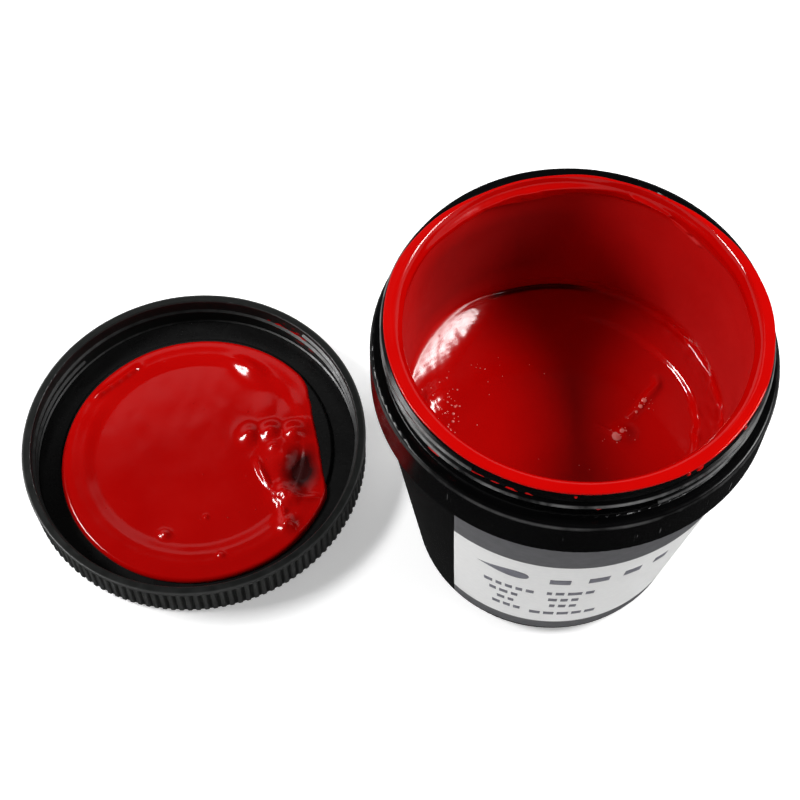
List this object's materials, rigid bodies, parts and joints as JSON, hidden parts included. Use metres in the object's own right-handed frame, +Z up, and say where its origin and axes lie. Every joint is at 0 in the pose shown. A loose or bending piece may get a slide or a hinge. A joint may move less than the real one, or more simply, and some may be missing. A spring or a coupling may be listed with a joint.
{
  "type": "paint jar",
  "caption": "Wide-mouth screw-top jar of thick paint, standing open and half full, with its ribbed lid lying inside-up beside it.",
  "frame": {"origin": "on the jar's own axis, at the surface that the jar and the lid stand on", "axes": "+Z up along the jar's axis; -X towards the lid that lies beside the jar; -Y towards the label's printed front"},
  "size_m": [0.248, 0.1218, 0.1233],
  "materials": {
    "black_jar_plastic": "moulded black plastic, satin gloss",
    "label_paper": "off-white coated paper with grey bands",
    "red_paint": "wet, very glossy opaque red",
    "black_lid_plastic": "moulded black plastic, satin",
    "black_liner": "thin pressed black sheet, satin"
  },
  "bodies": {
    "jar": {"jar_body": "black_jar_plastic", "wraparound_label": "label_paper", "paint_pool": "red_paint", "wall_paint_coat": "red_paint"},
    "lid": {"lid_shell": "black_lid_plastic"},
    "liner": {"lid_liner": "black_liner", "liner_paint_coat": "red_paint", "liner_paint_dollop": "red_paint"}
  },
  "joints": [
    {"name": "lid_turnover", "type": "hinge", "parent": "jar", "child": "lid", "pos_m": [-0.06325, 0, 0.06312], "axis": [0, 1, 0], "range_deg": [0, 180]},
    {"name": "liner_spin", "type": "hinge", "parent": "lid", "child": "liner", "pos_m": [-0.1265, 0, 0.003], "axis": [0, 0, 1], "continuous": true}
  ]
}
